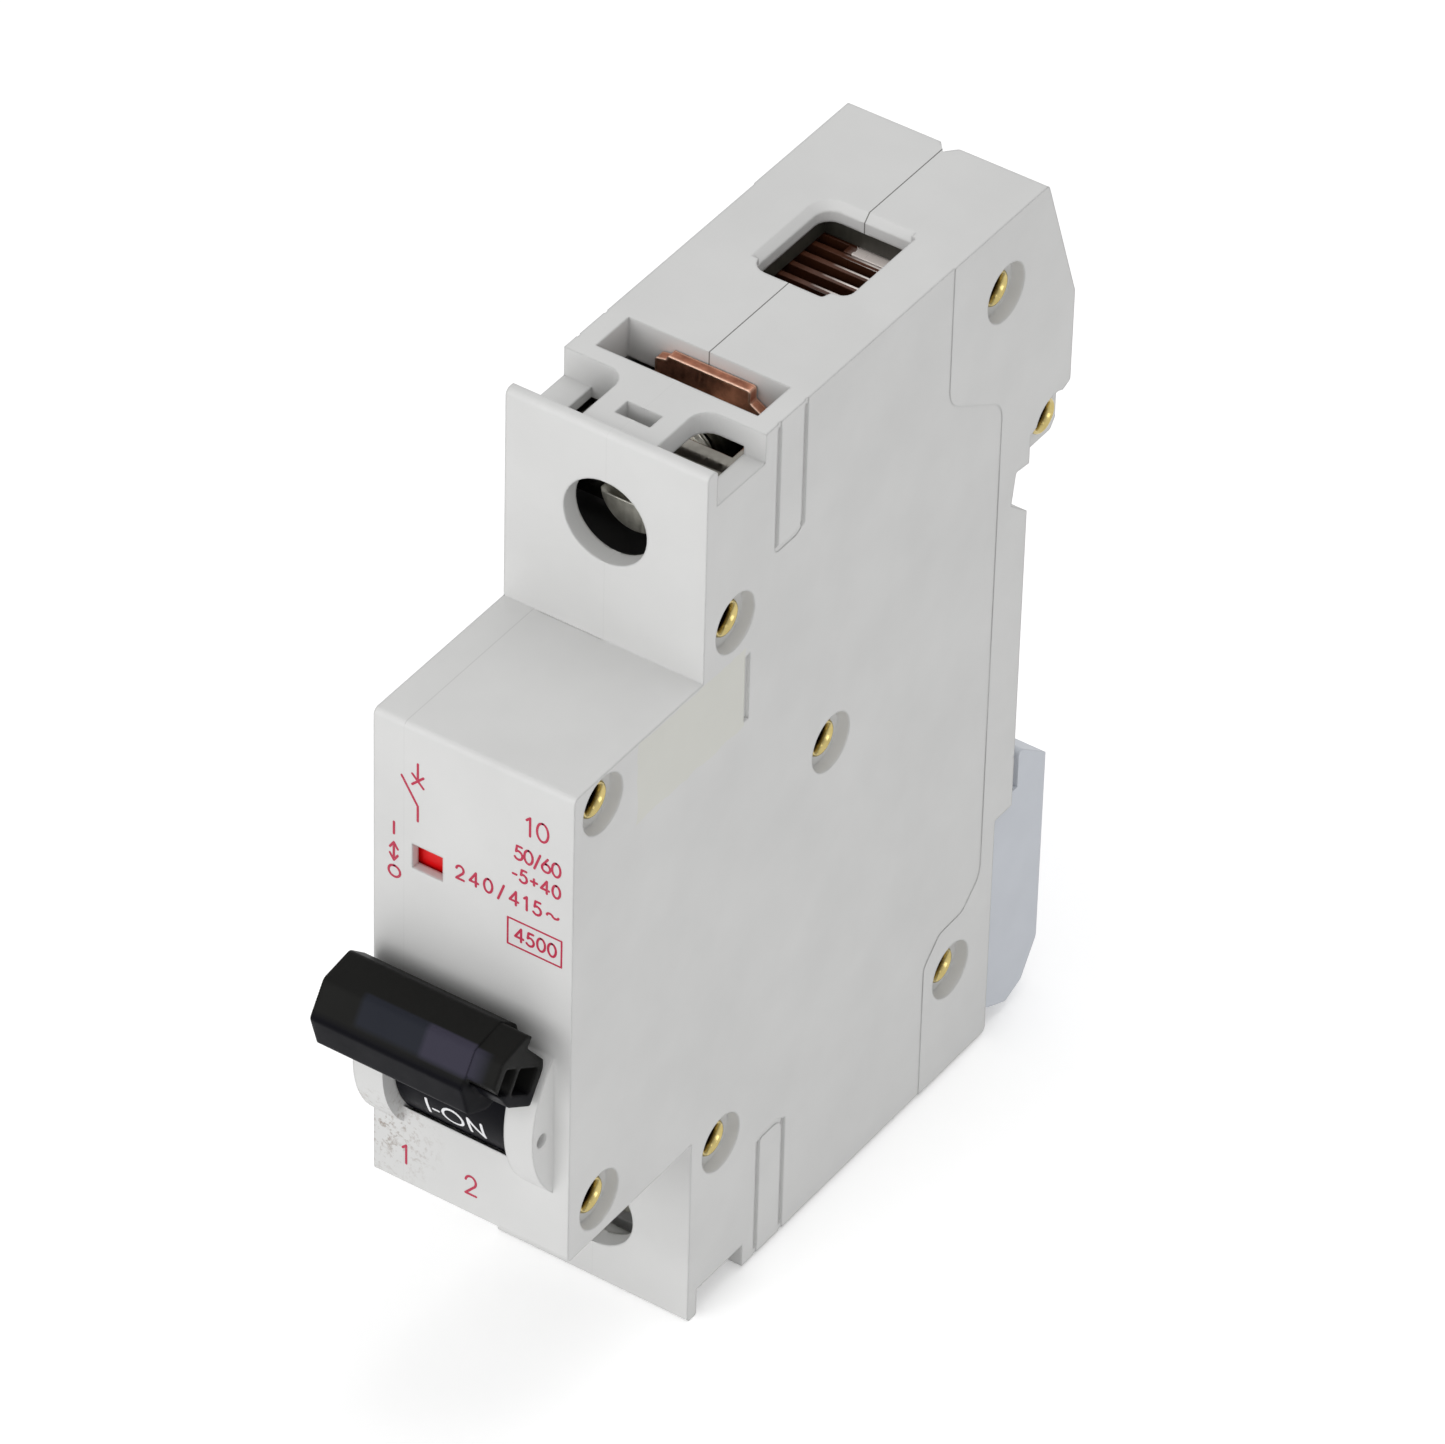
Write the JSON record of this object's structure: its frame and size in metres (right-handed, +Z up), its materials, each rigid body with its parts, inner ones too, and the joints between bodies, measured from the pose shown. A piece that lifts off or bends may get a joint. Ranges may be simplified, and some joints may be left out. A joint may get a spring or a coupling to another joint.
{
  "type": "miniature circuit breaker",
  "caption": "Slim moulded circuit breaker for a top-hat rail, with a rocking toggle, an on/off flag, screw clamp terminals at both ends and a sprung rail clip.",
  "frame": {"origin": "middle of the flat seat that rests on the rail's front face", "axes": "+Y points back into the rail, -Y to the front of the nose, +Z up along the wall, +X to the right seen from the front"},
  "size_m": [0.018, 0.0735, 0.0825],
  "materials": {
    "case_grey": "moulded thermoset, fine matt",
    "rivet_brass": "bright drawn brass",
    "clip_grey": "moulded bluish-grey nylon",
    "spring_steel": "drawn spring wire",
    "toggle_black": "black moulded nylon, satin",
    "pin_steel": "ground steel",
    "flag_red": "red moulded plastic",
    "slider_white": "white moulded plastic",
    "carrier_steel": "blackened pressed steel",
    "copper": "bare rolled copper",
    "silver_contact": "silver contact facing",
    "lever_cream": "cream moulded plastic",
    "enamel_copper": "enamelled copper wire",
    "bobbin_cream": "cream moulded plastic",
    "zinc_steel": "zinc-plated steel",
    "splitter_steel": "copper-flashed steel plate",
    "fibre_board": "pressed fibre board",
    "bimetal": "rolled bimetal",
    "nickel_steel": "nickel-plated steel"
  },
  "bodies": {
    "case": {"right_case": "case_grey", "left_case": "case_grey", "case_rivets": "rivet_brass", "clip_spring": "spring_steel", "toggle_axle": "pin_steel", "toggle_spring": "spring_steel", "mechanism_pin": "pin_steel", "contact_spring": "spring_steel", "solenoid_coil": "enamel_copper", "coil_bobbin": "bobbin_cream", "magnet_yoke": "zinc_steel", "fixed_core": "zinc_steel", "plunger_spring": "spring_steel", "fixed_contact": "copper", "fixed_contact_tip": "silver_contact", "splitter_plates": "splitter_steel", "chute_sides": "fibre_board", "rear_arc_runner": "zinc_steel", "flexible_braid": "copper", "calibration_screw": "rivet_brass", "calibration_nut": "zinc_steel", "upper_terminal_strip": "copper", "lower_terminal_strip": "copper", "upper_clamp_cage": "nickel_steel", "lower_clamp_cage": "nickel_steel"},
    "toggle": {"toggle_handle": "toggle_black"},
    "link": {"toggle_link": "pin_steel"},
    "flag": {"indicator_flag": "flag_red", "flag_slider": "slider_white"},
    "contact": {"contact_carrier": "carrier_steel", "contact_arm": "copper", "contact_tip": "silver_contact", "latch_pin": "pin_steel"},
    "latch": {"trip_latch": "pin_steel"},
    "trip": {"trip_lever": "lever_cream"},
    "plunger": {"plunger": "zinc_steel"},
    "bimetal": {"bimetal_strip": "bimetal"},
    "clip": {"rail_clip": "clip_grey"},
    "upper_plate": {"upper_clamp_plate": "nickel_steel"},
    "upper_screw": {"upper_clamp_screw": "nickel_steel"},
    "lower_plate": {"lower_clamp_plate": "nickel_steel"},
    "lower_screw": {"lower_clamp_screw": "nickel_steel"}
  },
  "joints": [
    {"name": "toggle_swing", "type": "hinge", "parent": "case", "child": "toggle", "pos_m": [0, -0.0532, -0.0095], "axis": [1, 0, 0], "range_deg": [0, 60]},
    {"name": "link_swing", "type": "hinge", "parent": "toggle", "child": "link", "pos_m": [0, -0.04885, -0.00834], "axis": [1, 0, 0], "range_deg": [-66, 0]},
    {"name": "contact_swing", "type": "hinge", "parent": "case", "child": "contact", "pos_m": [0, -0.024, -0.006], "axis": [1, 0, 0], "range_deg": [-22.2, 0], "deforming": ["flexible_braid", "contact_spring"]},
    {"name": "flag_slide", "type": "slide", "parent": "case", "child": "flag", "axis": [0, 0, 1], "range_m": [0, 0.0039]},
    {"name": "plunger_slide", "type": "slide", "parent": "case", "child": "plunger", "axis": [0, 0, -1], "range_m": [0, 0.0015], "stiffness_N_per_m": 150, "deforming": ["plunger_spring"]},
    {"name": "trip_lever_swing", "type": "hinge", "parent": "case", "child": "trip", "pos_m": [0, -0.024, -0.006], "axis": [1, 0, 0], "range_deg": [0, 9.1]},
    {"name": "latch_swing", "type": "hinge", "parent": "contact", "child": "latch", "pos_m": [0.003, -0.0214, -0.0112], "axis": [1, 0, 0], "range_deg": [0, 12.1]},
    {"name": "bimetal_bend", "type": "hinge", "parent": "case", "child": "bimetal", "pos_m": [0, -0.0341, -0.0228], "axis": [1, 0, 0], "range_deg": [0, 2.5], "stiffness_Nm_per_rad": 0.05, "deforming": ["flexible_braid"]},
    {"name": "clip_slide", "type": "slide", "parent": "case", "child": "clip", "axis": [0, 0, -1], "range_m": [0, 0.0042], "stiffness_N_per_m": 600, "deforming": ["clip_spring"]},
    {"name": "upper_plate_slide", "type": "slide", "parent": "case", "child": "upper_plate", "axis": [0, 1, 0], "range_m": [-0.0028, 0]},
    {"name": "upper_screw_turn", "type": "hinge", "parent": "upper_plate", "child": "upper_screw", "pos_m": [0, -0.0382, 0.03345], "axis": [0, 1, 0], "range_deg": [-1264, 0]},
    {"name": "lower_plate_slide", "type": "slide", "parent": "case", "child": "lower_plate", "axis": [0, 1, 0], "range_m": [-0.0028, 0]},
    {"name": "lower_screw_turn", "type": "hinge", "parent": "lower_plate", "child": "lower_screw", "pos_m": [0, -0.0382, -0.03345], "axis": [0, 1, 0], "range_deg": [-1264, 0]}
  ],
  "couplings": [
    {"joint": "link_swing", "follows": "toggle_swing", "ratio": -1.0928},
    {"joint": "contact_swing", "follows": "toggle_swing", "ratio": -0.36667},
    {"joint": "flag_slide", "follows": "toggle_swing", "m_per_rad": 0.0037238},
    {"joint": "trip_lever_swing", "follows": "plunger_slide", "rad_per_m": 104.72},
    {"joint": "latch_swing", "follows": "plunger_slide", "rad_per_m": 139.63},
    {"joint": "upper_screw_turn", "follows": "upper_plate_slide", "rad_per_m": 7854},
    {"joint": "lower_screw_turn", "follows": "lower_plate_slide", "rad_per_m": 7854}
  ]
}
